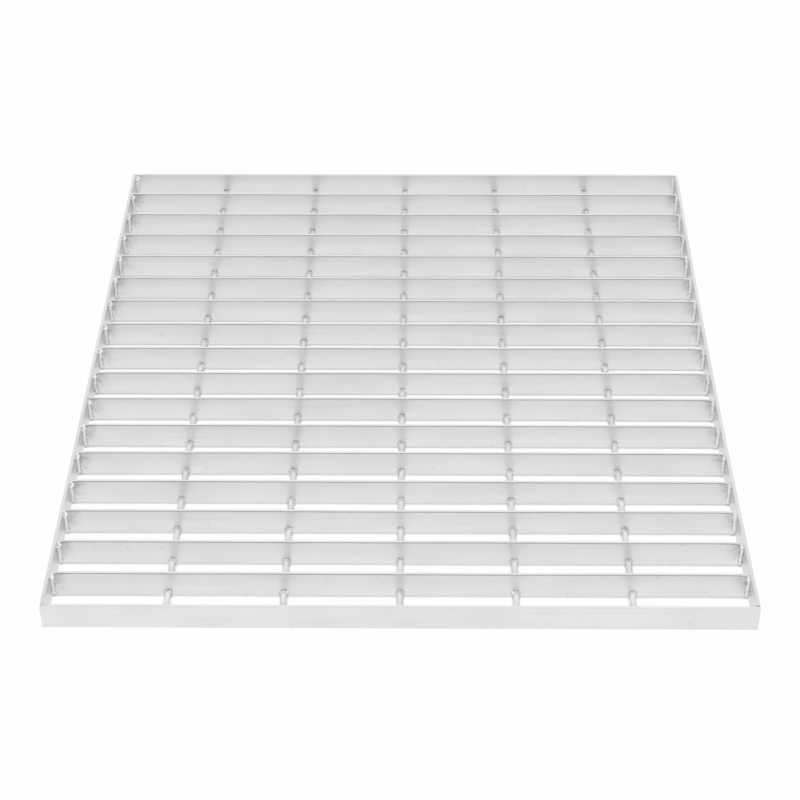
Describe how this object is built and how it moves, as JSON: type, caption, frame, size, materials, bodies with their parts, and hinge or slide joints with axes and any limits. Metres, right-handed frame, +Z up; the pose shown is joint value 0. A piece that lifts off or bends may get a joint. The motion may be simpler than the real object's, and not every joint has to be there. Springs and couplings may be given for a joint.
{
  "type": "drain cover",
  "caption": "Flat rectangular welded bar grate in a flat-bar frame, laid over a drain pit or channel to carry feet and wheels and let water through.",
  "frame": {"origin": "middle of the underside, at the centre of the grate's outline", "axes": "+X along the bearing bars, +Y from the front bar to the back bar, +Z up"},
  "size_m": [0.606, 0.683, 0.025],
  "materials": {
    "galvanised_frame": "bright hot-dip galvanised, semi-gloss, corners welded and ground",
    "galvanised_bars": "bright hot-dip galvanised, semi-gloss with faint cloudy mottling",
    "galvanised_rods": "bright hot-dip galvanised twisted square rod with forged crossings",
    "galvanised_welds": "galvanised over rippled fillet welds"
  },
  "bodies": {
    "root": {"bearing_bar_01": "galvanised_bars", "bearing_bar_02": "galvanised_bars", "bearing_bar_03": "galvanised_bars", "bearing_bar_04": "galvanised_bars", "bearing_bar_05": "galvanised_bars", "bearing_bar_06": "galvanised_bars", "bearing_bar_07": "galvanised_bars", "bearing_bar_08": "galvanised_bars", "bearing_bar_09": "galvanised_bars", "bearing_bar_10": "galvanised_bars", "bearing_bar_11": "galvanised_bars", "bearing_bar_12": "galvanised_bars", "bearing_bar_13": "galvanised_bars", "bearing_bar_14": "galvanised_bars", "bearing_bar_15": "galvanised_bars", "bearing_bar_16": "galvanised_bars", "cross_rod_1": "galvanised_rods", "cross_rod_2": "galvanised_rods", "cross_rod_3": "galvanised_rods", "cross_rod_4": "galvanised_rods", "cross_rod_5": "galvanised_rods", "frame_front_bar": "galvanised_frame", "frame_back_bar": "galvanised_frame", "frame_left_bar": "galvanised_frame", "frame_right_bar": "galvanised_frame", "left_end_welds": "galvanised_welds", "right_end_welds": "galvanised_welds", "frame_corner_welds": "galvanised_welds"}
  },
  "joints": []
}
